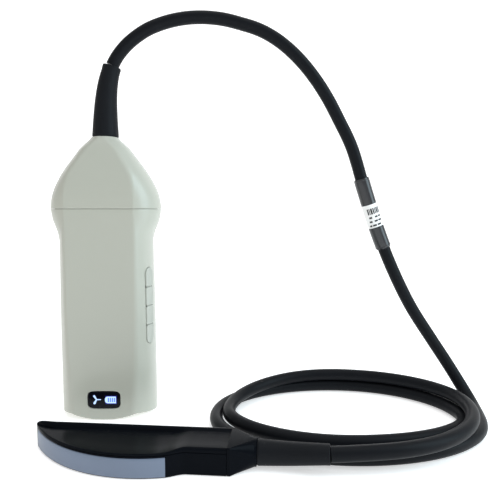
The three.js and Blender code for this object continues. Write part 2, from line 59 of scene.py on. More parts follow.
# Scanner outline stations: z, half width, half depth, half width of the flat front, corner radius
HOUSING_STATIONS = [
    (0, 28.3, HALF_DEPTH, 15.5, 8.0),
    (20, 28.3, HALF_DEPTH, 17.0, 6.0),
    (63, 28.0, HALF_DEPTH, 19.0, 3.6),
    (105, 27.4, HALF_DEPTH, 19.2, 3.0),
    (110, 28.4, HALF_DEPTH, 19.2, 3.0),
    (114, 30.0, HALF_DEPTH, 19.2, 3.0),
    (118, 31.5, HALF_DEPTH, 19.2, 3.0),
    (SEAM_Z, 32.6, HALF_DEPTH, 19.2, 3.0),
]
CAP_STATIONS = [
    (SEAM_Z, 32.6, HALF_DEPTH, 19.2, 3.0),
    (129.5, 32.0, HALF_DEPTH, 19.2, 3.2),
    (135.5, 30.2, 17.6, 18.6, 3.8),
    (141.6, 27.1, 16.7, 17.0, 4.4),
    (147.6, 23.4, 15.2, 14.0, 5.0),
    (153.7, 18.9, 13.3, 10.2, 5.4),
    (159.8, 14.3, 11.2, 6.0, 6.0),
    (163.2, 10.8, 9.6, 2.6, 6.0),
    (165.4, 8.5, 8.3, 1.0, 6.0),
    (NECK_Z, NECK_R, NECK_R, 0.9, 6.0),
]
# The underside is flat in the middle and curves up towards both sides.
BASE_FLAT = 3.0         # half width of the flat middle
BASE_SPAN = 16.0        # width over which it comes to its full lift
BASE_LIFT = 3.4
BASE_POWER = 1.7        # how late in the span it turns up
BASE_DEPTH = 17.0       # distance from the middle plane where the lift is full
BASE_REACH = 34.0       # height above which nothing is lifted

WINDOW = {"x": 0.7, "z": 12.3, "half_width": 9.5, "half_height": 5.1, "power": 5.0}
KEYS = {
    "x": 26.5, "y": -8.4, "turn": -20.0, "low": 44.0, "high": 89.5, "half_width": 3.8, "count": 4,
    "gap": 0.1, "room": 0.2, "corner": 1.3,
}

CABLE_R = 3.75
BOOT_PATH = [(0.2, 0, 166.35), (0.5, 0, 178), (1.1, 0, 188.5), (2.5, 0, 198.5), (4.9, 0, 207.4)]
# Free cable from the strain relief to the coil
ARCH_PATH = [
    (5.1, 0, 208.1), (7.7, 0, 212.7), (11.4, 0, 217.5), (16.6, 0, 222.5), (26, 0, 228.8),
    (37, 0, 233), (47.5, 0, 235.2), (58, 0.2, 235.9), (70, 0.8, 235.1), (81, 1.4, 232.7),
    (92.5, 2, 229.2), (102.6, 2.5, 223.8), (112.4, 3, 216.1), (122.2, 3.8, 205.8),
    (131.9, 4.6, 192.4), (140.5, 5.4, 177.2), (148.4, 6, 161.5), (156.6, 7, 136.5),
    (165.3, 8, 111.3), (175.5, 9, 87), (188, 10, 62.8), (202.2, 11, 41.3), (211.2, 10.4, 27.8),
    (216.8, 8.5, 18.6), (220.9, 2.8, 10.2), (221.7, -7.2, 5.2),
]
COIL_CENTRE = (140.0, -20.0)
# Quarter-turn stations of the coil: distance from the centre and height, first at +X, then at
# -Y, -X, +Y and round again.
COIL_STATIONS = [
    (77.8, 3.9), (50.0, 3.8), (73.2, 3.8), (51.2, 3.8), (69.8, 3.8),
    (33.8, 3.8), (65.8, 6.6), (50.6, 11.3), (71.8, 11.3), (57.6, 10.6),
]
TAIL_PATH = [(132.5, -77.9, 9.9), (124.2, -77.5, 9.4)]
# Heights on the descending run of the arch, which lies beyond DESCENT_FROM_X
DESCENT_FROM_X = 120
SLEEVE_HEIGHTS = (142.5, 99.5)
LABEL_HEIGHTS = (127.0, 111.6)
# Inner and outer radius of what is wrapped round the cable
SLEEVE_RADII = (4.4, 4.7)
LABEL_RADII = (4.72, 4.80)
PRINT_RADII = (4.81, 4.87)
# Lip at each end of the sleeve: place along the cable and outer radius, then the inner radius
SLEEVE_LIP = ((-0.28, 4.72), (-0.1, 4.86), (0.1, 4.86), (0.28, 4.72))
SLEEVE_LIP_INNER = 4.3

PROBE = {
    "place": (76.4, -69.1), "turn": -4.9, "half_width": 11.5, "split": 11.0, "top": 14.0,
    "arc_centre": (-46.2, 53.5), "arc_radius": 71.0, "tip": -102.85, "lens_from": -140.3,
    "lens_to": -75.1, "lens_low": 0.7, "lens_high": 9.9, "cone": 13.5, "cone_end": 6.7,
    "handle_from": -19.0, "arc_to": -28.2, "tip_corner": 1.5, "nose": 6.0, "joint_gap": 0.12,
}
PROBE_BOOT_PATH = [
    (13.6, 0, 7), (18, -0.1, 7), (28, -1, 7.4), (38, -2.9, 8.5), (43, -3.7, 9), (48, -4.2, 9.3),
]

# ---------------------------------------------------------------- camera
CAMERA_PLACE = (86.4, -303.0, 124.0)
CAMERA_PITCH = 4.7


def add_camera():
    data = bpy.data.cameras.new("photo_camera")
    data.lens = 36
    data.sensor_width = 36
    data.clip_start = 0.01
    camera = bpy.data.objects.new("photo_camera", data)
    camera.location = Vector(CAMERA_PLACE) * MM
    camera.rotation_euler = (math.radians(90 - CAMERA_PITCH), 0, 0)
    bpy.context.scene.collection.objects.link(camera)
    bpy.context.scene.camera = camera


# ---------------------------------------------------------------- materials
def material(name, color, roughness, metallic=0.0, grain=0.0, grain_scale=900.0, tint=0.0,
             rough_spread=0.05, **sockets):
    """Principled material with noise in its colour, roughness and fine surface grain."""
    made = bpy.data.materials.new(name)
    made.use_nodes = True
    nodes, links = made.node_tree.nodes, made.node_tree.links
    shader = nodes["Principled BSDF"]
    shader.inputs["Metallic"].default_value = metallic
    for socket, value in sockets.items():
        shader.inputs[socket.replace("_", " ")].default_value = value
    place = nodes.new("ShaderNodeTexCoord")

    cloud = nodes.new("ShaderNodeTexNoise")
    cloud.inputs["Scale"].default_value = 45.0
    cloud.inputs["Detail"].default_value = 4.0
    links.new(place.outputs["Object"], cloud.inputs["Vector"])
    blend = nodes.new("ShaderNodeMix")
    blend.data_type = "RGBA"
    blend.inputs["A"].default_value = (*[c * (1 - tint) for c in color], 1)
    blend.inputs["B"].default_value = (*[min(1, c * (1 + tint)) for c in color], 1)
    links.new(cloud.outputs["Fac"], blend.inputs["Factor"])
    links.new(blend.outputs["Result"], shader.inputs["Base Color"])

    spread = nodes.new("ShaderNodeMapRange")
    spread.inputs["To Min"].default_value = max(0.02, roughness - rough_spread)
    spread.inputs["To Max"].default_value = roughness + rough_spread
    links.new(cloud.outputs["Fac"], spread.inputs["Value"])
    links.new(spread.outputs["Result"], shader.inputs["Roughness"])

    if grain > 0:
        fine = nodes.new("ShaderNodeTexNoise")
        fine.inputs["Scale"].default_value = grain_scale
        fine.inputs["Detail"].default_value = 2.0
        links.new(place.outputs["Object"], fine.inputs["Vector"])
        bump = nodes.new("ShaderNodeBump")
        bump.inputs["Strength"].default_value = grain
        bump.inputs["Distance"].default_value = 0.0004
        links.new(fine.outputs["Fac"], bump.inputs["Height"])
        links.new(bump.outputs["Normal"], shader.inputs["Normal"])
    return made


MATERIALS = {
    "housing_shell": material("moulded_off_white_plastic", (0.425, 0.435, 0.375), 0.36, grain=0.10,
                              grain_scale=2200, tint=0.015, Coat_Weight=0.25, Coat_Roughness=0.16),
    "key_plastic": material("key_soft_plastic", (0.42, 0.435, 0.385), 0.42, grain=0.12,
                            grain_scale=2200, tint=0.02),
    "display_glass": material("display_black_glass", (0.003, 0.003, 0.006), 0.09, rough_spread=0.02,
                              tint=0.2, Specular_IOR_Level=0.12),
    "display_panel": material("display_panel", (0.01, 0.02, 0.06), 0.25, tint=0.1),
    "gasket_rubber": material("gasket_rubber", (0.03, 0.03, 0.032), 0.75, grain=0.15, tint=0.1),
    "circuit_board": material("solder_mask_green", (0.02, 0.12, 0.05), 0.4, grain=0.2, tint=0.25),
    "chip_body": material("chip_moulding", (0.02, 0.02, 0.022), 0.55, grain=0.1, tint=0.1),
    "shield_metal": material("tinned_shield", (0.55, 0.55, 0.57), 0.35, 0.95, grain=0.08,
                             tint=0.05),
    "steel": material("screw_steel", (0.42, 0.43, 0.45), 0.32, 1.0, grain=0.1, tint=0.08),
    "copper": material("copper_foil", (0.5, 0.22, 0.1), 0.35, 1.0, grain=0.1, tint=0.1),
    "battery_wrap": material("battery_wrap", (0.05, 0.12, 0.3), 0.4, grain=0.08, tint=0.06),
    "frame_plastic": material("glass_filled_plastic", (0.05, 0.05, 0.055), 0.6, grain=0.2,
                              tint=0.1),
    "boot_rubber": material("boot_rubber", (0.007, 0.008, 0.010), 0.52, grain=0.14,
                            grain_scale=1500, tint=0.12, Specular_IOR_Level=0.10),
    "cable_jacket": material("cable_jacket", (0.006, 0.007, 0.009), 0.42, grain=0.10,
                             grain_scale=1300, tint=0.15, Specular_IOR_Level=0.09),
    "clear_shrink": material("smoky_heat_shrink", (0.020, 0.021, 0.024), 0.2, tint=0.02),
    "label_paper": material("label_paper", (0.86, 0.86, 0.85), 0.5, grain=0.05, tint=0.02),
    "probe_plastic": material("probe_gloss_black", (0.003, 0.004, 0.006), 0.2, rough_spread=0.03,
                              grain=0.03, grain_scale=500, tint=0.15, IOR=1.1),
    "lens_silicone": material("lens_silicone", (0.145, 0.185, 0.26), 0.42, grain=0.04, tint=0.10),
    "array_ceramic": material("array_ceramic", (0.55, 0.5, 0.4), 0.7, grain=0.1, tint=0.08),
    "backing_epoxy": material("backing_epoxy", (0.07, 0.07, 0.06), 0.7, grain=0.1, tint=0.1),
}
PRINT_INK = material("label_ink", (0.02, 0.02, 0.022), 0.6, tint=0.1)


def glow(name, color, strength):
    """Lit display segments: a dark base with an even glow."""
    made = material(name, [c * 0.2 for c in color], 0.3, tint=0.05)
    shader = made.node_tree.nodes["Principled BSDF"]
    shader.inputs["Emission Color"].default_value = (*color, 1)
    shader.inputs["Emission Strength"].default_value = strength
    return made


GLOW_WHITE = glow("display_white_segments", (0.45, 0.62, 1.0), 1.3)
GLOW_BLUE = glow("display_blue_segments", (0.10, 0.18, 1.0), 1.2)
GLOW_DIM = glow("display_blue_haze", (0.02, 0.03, 0.6), 0.22)


# ---------------------------------------------------------------- mesh tools
SHARP_ANGLE = 32.0
MERGE_WITHIN = 1e-7     # metres


def closed_mesh(name, verts, faces):
    """Mesh from points in millimetres, closed and facing out."""
    mesh = bpy.data.meshes.new(name)
    mesh.from_pydata([[c * MM for c in vert] for vert in verts], [], faces)
    work = bmesh.new()
    work.from_mesh(mesh)
    bmesh.ops.remove_doubles(work, verts=work.verts, dist=MERGE_WITHIN)
    bmesh.ops.recalc_face_normals(work, faces=work.faces)
    work.to_mesh(mesh)
    work.free()
    return mesh


def add_piece(name, verts, faces, slot, body="unit", sharp=SHARP_ANGLE, look=None):
    """Mesh object from points in millimetres, riding on a CAD body."""
    mesh = closed_mesh(name, verts, faces)
    piece = bpy.data.objects.new(name, mesh)
    bpy.context.scene.collection.objects.link(piece)
    mesh.materials.append(look or MATERIALS[slot])
    smooth(mesh, sharp)
    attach(piece, body)
    return piece


def smooth(mesh, sharp):
    for polygon in mesh.polygons:
        polygon.use_smooth = True
    mesh.set_sharp_from_angle(angle=math.radians(sharp))


def skin(rings, loop=False):
    """Points and faces of a surface through rings of equal length.

    Its ends are flat or, with loop, its last ring is joined to its first.
    """
    count = len(rings[0])
    verts = [point for ring in rings for point in ring]
    faces = []
    for row in range(len(rings) if loop else len(rings) - 1):
        a, b = row * count, (row + 1) % len(rings) * count
        for i in range(count):
            j = (i + 1) % count
            faces.append((a + i, a + j, b + j, b + i))
    if not loop:
        faces.append(tuple(range(count)))
        faces.append(tuple(range(len(verts) - count, len(verts))))
    return verts, faces


def cut_away(piece, name, verts, faces):
    """Cuts a closed shape out of a piece."""
    tool = bpy.data.objects.new(name, closed_mesh(name, verts, faces))
    bpy.context.scene.collection.objects.link(tool)
    modifier = piece.modifiers.new("cut", "BOOLEAN")
    modifier.operation = "DIFFERENCE"
    modifier.solver = "EXACT"
    modifier.object = tool
    bpy.context.view_layer.update()
    depsgraph = bpy.context.evaluated_depsgraph_get()
    shaped = bpy.data.meshes.new_from_object(piece.evaluated_get(depsgraph))
    piece.modifiers.clear()
    piece.data = shaped
    smooth(shaped, SHARP_ANGLE)
    bpy.data.objects.remove(tool)


def offset(points, distance):
    """A closed 2D outline moved outwards by a distance."""
    moved = []
    for i, (x, y) in enumerate(points):
        before, after = points[i - 1], points[(i + 1) % len(points)]
        along = Vector((after[0] - before[0], after[1] - before[1])).normalized()
        moved.append((x + along.y * distance, y - along.x * distance))
    return moved


def stack(shape, levels, place):
    """Closed solid from one outline at several depths. levels are (depth, how far it grows)."""
    return skin([[place(u, v, depth) for u, v in offset(shape, grow)] for depth, grow in levels])


def hermite(t, span, start, end, slope_start, slope_end=0.0):
    """Value at share t of a span, between two ends with given slopes."""
    return ((1 + 2 * t) * (1 - t) ** 2 * start + t * (1 - t) ** 2 * span * slope_start
            + t * t * (3 - 2 * t) * end + t * t * (t - 1) * span * slope_end)


def steady(values, stations, z):
    """Value at z of a smooth curve through stations that never overshoots them."""
    heights = [station[0] for station in stations]
    if z <= heights[0]:
        return values[0]
    if z >= heights[-1]:
        return values[-1]
    steps = [(values[i + 1] - values[i]) / (heights[i + 1] - heights[i])
             for i in range(len(values) - 1)]
    slopes = [steps[0]]
    for before, after in zip(steps, steps[1:]):
        slopes.append(0.0 if before * after <= 0 else 2 * before * after / (before + after))
    slopes.append(steps[-1])
    i = max(k for k in range(len(heights) - 1) if heights[k] <= z)
    span = heights[i + 1] - heights[i]
    return hermite((z - heights[i]) / span, span, values[i], values[i + 1],
                   slopes[i], slopes[i + 1])


def ease(t):
    t = min(1.0, max(0.0, t))
    return t * t * (3 - 2 * t)


# ---------------------------------------------------------------- curves
def smooth_path(points, step=2.0):
    """Centripetal Catmull-Rom line through points, sampled about every step millimetres."""
    knots = [Vector(point) for point in points]
    knots = [2 * knots[0] - knots[1], *knots, 2 * knots[-1] - knots[-2]]
    line = []
    for i in range(1, len(knots) - 2):
        p = knots[i - 1:i + 3]
        t = [0.0]
        for a, b in zip(p, p[1:]):
            t.append(t[-1] + (b - a).length ** 0.5)
        pieces = max(2, round((p[2] - p[1]).length / step))
        for k in range(pieces):
            u = t[1] + (t[2] - t[1]) * k / pieces
            line.append(spline_point(p, t, u))
    line.append(Vector(points[-1]))
    return line


def spline_point(p, t, u):
    def between(a, b, ta, tb):
        return a * ((tb - u) / (tb - ta)) + b * ((u - ta) / (tb - ta))

    first = [between(p[i], p[i + 1], t[i], t[i + 1]) for i in range(3)]
    second = [between(first[i], first[i + 1], t[i], t[i + 2]) for i in range(2)]
    return between(second[0], second[1], t[1], t[2])


def path_frames(line):
    """Point, normal and binormal at each point of a line, turning as little as possible."""
    frames = []
    normal = Vector((0, 1, 0))
    for i, point in enumerate(line):
        tangent = (line[min(i + 1, len(line) - 1)] - line[max(i - 1, 0)]).normalized()
        normal = (normal - tangent * normal.dot(tangent)).normalized()
        frames.append((point, normal, tangent.cross(normal)))
    return frames


def tube(line, radii, sides=40):
    rings = []
    for (point, normal, binormal), radius in zip(path_frames(line), radii):
        ring = []
        for i in range(sides):
            angle = 2 * math.pi * i / sides
            ring.append(point + normal * radius * math.cos(angle)
                        + binormal * radius * math.sin(angle))
        rings.append(ring)
    return rings


def line_length(line):
    return sum((b - a).length for a, b in zip(line, line[1:]))


# ---------------------------------------------------------------- cable
def coil_points(per_quarter=6):
    """The coil's turns: each quarter turn is a quarter ellipse between two stations."""
    points = []
    for quarter in range(len(COIL_STATIONS) - 1):
        near, far = COIL_STATIONS[quarter], COIL_STATIONS[quarter + 1]
        along_x, along_y = (near[0], far[0]) if quarter % 2 == 0 else (far[0], near[0])
        for i in range(per_quarter):
            t = i / per_quarter
            angle = (quarter + t) * math.pi / 2
            points.append((COIL_CENTRE[0] + along_x * math.cos(angle),
                           COIL_CENTRE[1] - along_y * math.sin(angle),
                           near[1] + (far[1] - near[1]) * ease(t)))
    return points


CABLE_LINE = smooth_path([*ARCH_PATH, *coil_points()[1:], *TAIL_PATH], 2.0)


def add_cable():
    data = bpy.data.curves.new("scanner_cable", "CURVE")
    data.dimensions = "3D"
    spline = data.splines.new("POLY")
    spline.points.add(len(CABLE_LINE) - 1)
    for point, place in zip(spline.points, CABLE_LINE):
        point.co = (*(place * MM), 1)
    spline.use_smooth = True
    data.bevel_depth = CABLE_R * MM
    data.bevel_resolution = 8
    data.use_fill_caps = True
    data.materials.append(MATERIALS["cable_jacket"])
    cable = bpy.data.objects.new("scanner_cable", data)
    bpy.context.scene.collection.objects.link(cable)
    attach(cable, "unit")
    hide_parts("cable_arch", "cable_coil", "cable_tail")
    return cable


def cable_stretch(high, low):
    """The points of the cable's descending run between two heights."""
    return [point for point in CABLE_LINE if low <= point.z <= high and point.x > DESCENT_FROM_X]


def hollow_tube(line, inner, outer, sides=44):
    """Thin tube along a line, a little narrower at its two ends."""
    end_step = 0.25
    ends = (0, len(line) - 1)
    radii = [outer - (end_step if i in ends else 0) for i in range(len(line))]
    outside, inside = tube(line, radii, sides), tube(line, [inner] * len(line), sides)
    return skin([*outside, *reversed(inside)], loop=True)


def add_sleeve_and_label():
    sleeve_line = cable_stretch(*SLEEVE_HEIGHTS)
    sleeve = add_piece("heat_shrink_sleeve", *hollow_tube(sleeve_line, *SLEEVE_RADII),
                       "clear_shrink")
    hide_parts("clear_sleeve")
    label_line = cable_stretch(*LABEL_HEIGHTS)
    label = add_piece("cable_wrap_label", *hollow_tube(label_line, *LABEL_RADII), "label_paper")
    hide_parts("cable_label")
    print_marks = add_label_print(label_line)
    rings = [add_end_ring("sleeve_end_ring_1", sleeve_line[:2]),
             add_end_ring("sleeve_end_ring_2", sleeve_line[-2:])]
    return [sleeve, label, print_marks, *rings]


def add_end_ring(name, line):
    """The rolled lip at one end of the heat-shrink sleeve."""
    middle = line[0].lerp(line[1], 0.5)
    along = (line[1] - line[0]).normalized()
    short = [middle + along * shift for shift, _ in SLEEVE_LIP]
    outside = tube(short, [radius for _, radius in SLEEVE_LIP])
    inside = tube(short, [SLEEVE_LIP_INNER] * len(short))
    return add_piece(name, *skin([*outside, *reversed(inside)], loop=True), "clear_shrink")


# Print on the label: millimetres along the cable, degrees round it from the front
BARS_ALONG = (2.4, 6.0)
BARS_FROM, BAR_GAP = -62, 5
BAR_WIDTHS = (9, 5, 12, 6, 9, 12, 5, 9)
RULE_HEIGHT = 1.05
RULES = (
    (7.4, ((-55, -30), (-24, -4), (18, 40))),
    (9.9, ((-52, -22), (-16, 8), (24, 46))),
    (12.4, ((-34, -6), (2, 30), (36, 54))),
)
PRINT_CELL = 9


def add_label_print(line):
    """Generic bars and rules on the label, as thin raised ink."""
    frames = path_frames(line)
    total = line_length(line)
    verts, faces = [], []

    def at(along, angle, radius):
        place = along / total * (len(frames) - 1)
        i = min(int(place), len(frames) - 2)
        (p, n, b), (q, m, c) = frames[i], frames[i + 1]
        t = place - i
        direction = (n.lerp(m, t) * math.cos(angle) + b.lerp(c, t) * math.sin(angle)).normalized()
        return p.lerp(q, t) + direction * radius

    def patch(along_from, along_to, angle_from, angle_to):
        cells = max(1, math.ceil((angle_to - angle_from) / math.radians(PRINT_CELL)))
        for k in range(cells):
            a = angle_from + (angle_to - angle_from) * k / cells
            b = angle_from + (angle_to - angle_from) * (k + 1) / cells
            base = len(verts)
            for radius in PRINT_RADII:
                verts.extend(at(s, angle, radius) for s, angle in
                             ((along_from, a), (along_to, a), (along_to, b), (along_from, b)))
            faces.extend(tuple(base + i for i in face) for face in
                         ((0, 1, 2, 3), (4, 7, 6, 5), (0, 4, 5, 1), (1, 5, 6, 2), (2, 6, 7, 3),
                          (3, 7, 4, 0)))

    front = math.radians(180)
    angle = front + math.radians(BARS_FROM)
    for width in BAR_WIDTHS:
        patch(*BARS_ALONG, angle, angle + math.radians(width))
        angle += math.radians(width + BAR_GAP)
    for along, runs in RULES:
        for start, stop in runs:
            patch(along, along + RULE_HEIGHT, front + math.radians(start),
                  front + math.radians(stop))
    return add_piece("label_print", verts, faces, "label_paper", look=PRINT_INK)


# ---------------------------------------------------------------- scanner shells
SIDE_STEPS = 12
CORNER_STEPS = 7
FLAT_STEPS = (1.0, 0.985, 0.93, 0.7, 0.4, 0.0)     # columns across half of the flat front


def outline(station, inset=0.0):
    """One level of the scanner in X and Y, anticlockwise from +X.

    Its front and back are flat, its sides arched and its corners round.
    """
    half_width, half_depth, flat, corner = station
    half_width -= inset
    half_depth -= inset
    flat = max(flat - inset * 0.4, 0.6)
    corner = max(corner - inset * 0.6, 0.8)
    overhang = flat - half_width
    side_radius = ((corner ** 2 - (half_depth - corner) ** 2 - overhang ** 2)
                   / (2 * (overhang + corner)))
    side_centre = half_width - side_radius
    meet = math.atan2(half_depth - corner, flat - side_centre)
    quarter = []
    for i in range(SIDE_STEPS + 1):
        angle = meet * i / SIDE_STEPS
        quarter.append((side_centre + side_radius * math.cos(angle),
                        side_radius * math.sin(angle)))
    for i in range(1, CORNER_STEPS + 1):
        angle = meet + (math.pi / 2 - meet) * i / CORNER_STEPS
        quarter.append((flat + corner * math.cos(angle),
                        half_depth - corner + corner * math.sin(angle)))
    quarter.extend((flat * step, half_depth) for step in FLAT_STEPS[1:])
    back = [*quarter, *[(-x, y) for x, y in reversed(quarter[:-1])]]
    return [*back, *[(x, -y) for x, y in reversed(back[1:-1])]]


def station_at(stations, z):
    return tuple(steady([station[k] for station in stations], stations, z) for k in range(1, 5))


def base_rise(x, y, z):
    """How far the curved base lifts a point of the front or back above its level."""
    over = min(1.0, max(0.0, abs(x) - BASE_FLAT) / BASE_SPAN)
    share = min(1.0, abs(y) / BASE_DEPTH)
    return BASE_LIFT * over ** BASE_POWER * share * max(0.0, 1 - z / BASE_REACH) ** 2


def level(stations, z, inset=0.0, scale=1.0):
    ring = [(x * scale, y * scale) for x, y in outline(station_at(stations, z), inset)]
    return [(x, y, z + base_rise(x, y, z)) for x, y in ring]


def frange(start, stop, count):
    return [start + (stop - start) * i / (count - 1) for i in range(count)]


def add_housing():
    top = SEAM_Z - SEAM_GAP / 2
    # Height, inset and scale of each level, from the underside up the outside and down the inside
    levels = [(0, 1.3, scale) for scale in (0.02, 0.3, 0.6, 0.85)]
    levels += [(0, 1.3), (0.08, 0.8), (0.35, 0.36), (0.8, 0.1), (1.4, 0)]
    levels += [(z,) for z in (*frange(4, 103, 22), *frange(105, top - 0.3, 16))]
    levels += [(top - 0.1, 0.06), (top, 0.25)]
    levels += [(z, WALL) for z in (top, 118, 111, 105, 63, 20, 3)]
    levels += [(2.4, WALL, scale) for scale in (0.9, 0.5, 0.02)]
    rings = [level(HOUSING_STATIONS, *one) for one in levels]
    housing = add_piece("housing_shell", *skin(rings), "housing_shell")
    window_levels = ((3.0, 1.6), (0.02, 0.42), (-0.35, 0.16), (-5, 0.16))
    cut_away(housing, "window_cutter", *stack(window_outline(), window_levels, place_on_front))
    room = KEYS["room"]
    radius = KEYS["half_width"] + room
    strip = rounded_strip(KEYS["low"] - room, KEYS["high"] + room, radius, radius, radius)
    strip_levels = ((3.0, 1.2), (0.55, 0.35), (-0.1, 0.05), (-3.4, 0.05))
    cut_away(housing, "strip_cutter", *stack(strip, strip_levels, place_on_side))
    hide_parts("main_housing")


def add_cap():
    low = SEAM_Z + SEAM_GAP / 2
    skirt_out, skirt_in = SKIRT_INSETS
    skirt_low = SEAM_Z - SKIRT_DROP
    # Height and inset of each level, up the outside, down the inside and round the skirt
    levels = [(low, 1.6), (low, 0.25), (low + 0.1, 0.06)]
    levels += [(z,) for z in frange(low + 0.3, NECK_Z - 0.3, 46)]
    levels += [(NECK_Z - 0.1, 0.1), (NECK_Z, 0.35), (NECK_Z, WALL), (163, WALL)]
    levels += [(z, WALL) for z in (155, 147, 139, 131, low + 1.5)]
    levels += [(low + 0.8, skirt_in), (skirt_low, skirt_in), (skirt_low, skirt_out),
               (low, skirt_out)]
    rings = [level(CAP_STATIONS, *one) for one in levels]
    cap = add_piece("cap_shell", *skin(rings, loop=True), "housing_shell")
    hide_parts("top_cap")


# ---------------------------------------------------------------- display
def place_on_front(u, v, depth):
    """Display outline coordinates to the front face; depth is outwards."""
    return (WINDOW["x"] + u, -HALF_DEPTH - depth, WINDOW["z"] + v)


def window_outline(count=96):
    points = []
    power = 2 / WINDOW["power"]
    for i in range(count):
        angle = 2 * math.pi * (i + 0.5) / count
        c, s = math.cos(angle), math.sin(angle)
        points.append((WINDOW["half_width"] * math.copysign(abs(c) ** power, c),
                       WINDOW["half_height"] * math.copysign(abs(s) ** power, s)))
    return points


def add_display():
    levels = ((-1.0, -0.1), (-0.22, -0.06), (-0.08, -0.16), (-0.02, -0.4), (0.0, -0.9))
    glass = add_piece("display_glass", *stack(window_outline(), levels, place_on_front),
                      "display_glass", sharp=50)
    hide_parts("display_window")
    add_icon("display_signal_mark", GLOW_WHITE, [
        stroke((-5.6, 2.3), (-4.3, 0.35), 0.62, 0.34),
        stroke((-5.5, -1.9), (-4.3, 0.15), 0.66, 0.34),
        stroke((-4.2, 0.25), (-1.9, 0.25), 0.34, 0.24)])
    add_icon("display_battery_case", GLOW_WHITE, [battery_outline()])
    bars = [slab(x, -1.2, x + 0.72, 1.3) for x in (2.3, 3.5, 4.7, 5.9)]
    add_icon("display_battery_bars", GLOW_BLUE, bars, lift=0.042)
    add_icon("display_glow_patch", GLOW_DIM, [slab(0.9, -2.4, 7.6, 2.5)], lift=0.012)


def battery_outline():
    """Battery mark as one band that runs out along its outer edge and back along its inner one."""
    return [(7.1, -1.95), (7.1, 2.05), (2.0, 2.05), (1.2, 1.7), (0.75, 0.9), (0.6, 0.05),
            (0.75, -0.8), (1.2, -1.6), (2.0, -1.95), (6.8, -1.95), (6.8, -1.65), (2.1, -1.65),
            (1.4, -1.35), (1.05, -0.7), (0.92, 0.05), (1.05, 0.8), (1.4, 1.45), (2.1, 1.75),
            (6.8, 1.75), (6.8, -1.95)]


def stroke(start, stop, wide, narrow):
    """Tapered stroke with round ends, as a closed outline."""
    along = Vector((stop[0] - start[0], stop[1] - start[1])).normalized()
    angle = math.atan2(along.y, along.x)
    points = []
    for centre, radius, turn in ((stop, narrow, -90), (start, wide, 90)):
        for i in range(9):
            a = angle + math.radians(turn + 22.5 * i)
            points.append((centre[0] + radius * math.cos(a), centre[1] + radius * math.sin(a)))
    return points


def slab(low_x, low_z, high_x, high_z):
    return [(low_x, low_z), (high_x, low_z), (high_x, high_z), (low_x, high_z)]


def add_icon(name, look, outlines, lift=0.03):
    verts, faces = [], []
    for shape in outlines:
        base = len(verts)
        shape_verts, shape_faces = stack(shape, ((lift - 0.01, 0), (lift, 0)), place_on_front)
        verts.extend(shape_verts)
        faces.extend(tuple(base + i for i in face) for face in shape_faces)
    return add_piece(name, verts, faces, "display_panel", look=look)


# ---------------------------------------------------------------- keys
def place_on_side(u, v, depth):
    """Key strip coordinates to the arched side; depth is outwards."""
    turn = math.radians(KEYS["turn"])
    return (KEYS["x"] + depth * math.cos(turn) - u * math.sin(turn),
            KEYS["y"] + depth * math.sin(turn) + u * math.cos(turn), v)


def rounded_strip(low, high, half_width, radius_low, radius_high, steps=9):
    points = []
    for cx, cz, radius, start in ((1, low, radius_low, -90), (1, high, radius_high, 0),
                                  (-1, high, radius_high, 90), (-1, low, radius_low, 180)):
        centre_x = cx * (half_width - radius)
        centre_z = cz + radius if cz == low else cz - radius
        for i in range(steps):
            angle = math.radians(start + 90 * i / (steps - 1))
            points.append((centre_x + radius * math.cos(angle),
                           centre_z + radius * math.sin(angle)))
    tidy = []
    for point in points:
        if not tidy or math.dist(point, tidy[-1]) > 0.02:
            tidy.append(point)
    return tidy


def add_keys():
    count, half, gap, corner = KEYS["count"], KEYS["half_width"], KEYS["gap"], KEYS["corner"]
    pitch = (KEYS["high"] - KEYS["low"]) / count
    round_end = half - 0.05
    levels = ((-3.2, 0), (0.1, 0), (0.3, -0.08), (0.42, -0.25), (0.48, -0.5), (0.44, -0.8),
              (0.38, -1.05))
    for i in range(count):
        first, last = i == 0, i == count - 1
        low = KEYS["low"] + pitch * i + (0 if first else gap)
        high = KEYS["low"] + pitch * (i + 1) - (0 if last else gap)
        shape = rounded_strip(low, high, half, round_end if first else corner,
                              round_end if last else corner)
        key = add_piece(f"key_cap_{i + 1}", *stack(shape, levels, place_on_side), "key_plastic",
                        body=f"key_{i + 1}", sharp=50)
        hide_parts(f"side_key_{i + 1}")


# ---------------------------------------------------------------- strain reliefs
def boot_mesh(line, start_radius, end_radius, lip, sides=48):
    """Tapered rubber boot with rounded ends and a slightly flared lip where the cable leaves it."""
    lip_from, lip_run = 0.93, 0.05              # shares of the length
    rounding, rounding_run = 0.45, 0.02
    bore, bore_depth, bulge = CABLE_R + 0.25, 1.2, 0.25
    length = line_length(line)
    walked = 0.0
    radii = []
    for i, point in enumerate(line):
        if i:
            walked += (point - line[i - 1]).length
        t = walked / length
        radius = start_radius + (end_radius - start_radius) * t
        radius += lip * ease((t - lip_from) / lip_run) - rounding * ease(1 - t / rounding_run)
        radii.append(radius)
    rings = tube(line, radii, sides)
    start, stop = rings[0], rings[-1]
    first, last = line[0], line[-1]
    into = (line[-1] - line[-2]).normalized()
    soft_start = [first.lerp(Vector(p), 0.93) for p in start]
    soft_stop = [last.lerp(Vector(p), 0.95) + into * bulge for p in stop]
    mouth = [last + (Vector(p) - last).normalized() * bore for p in stop]
    inner = [p + into * bulge for p in mouth]
    deep = [p - into * bore_depth for p in mouth]
    return skin([soft_start, *rings, soft_stop, inner, deep])


def add_scanner_boot():
    line = smooth_path(BOOT_PATH, 0.7)
    boot = add_piece("scanner_strain_relief", *boot_mesh(line, 7.75, 5.1, lip=0.2), "boot_rubber",
                     sharp=40)
    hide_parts("scanner_boot")


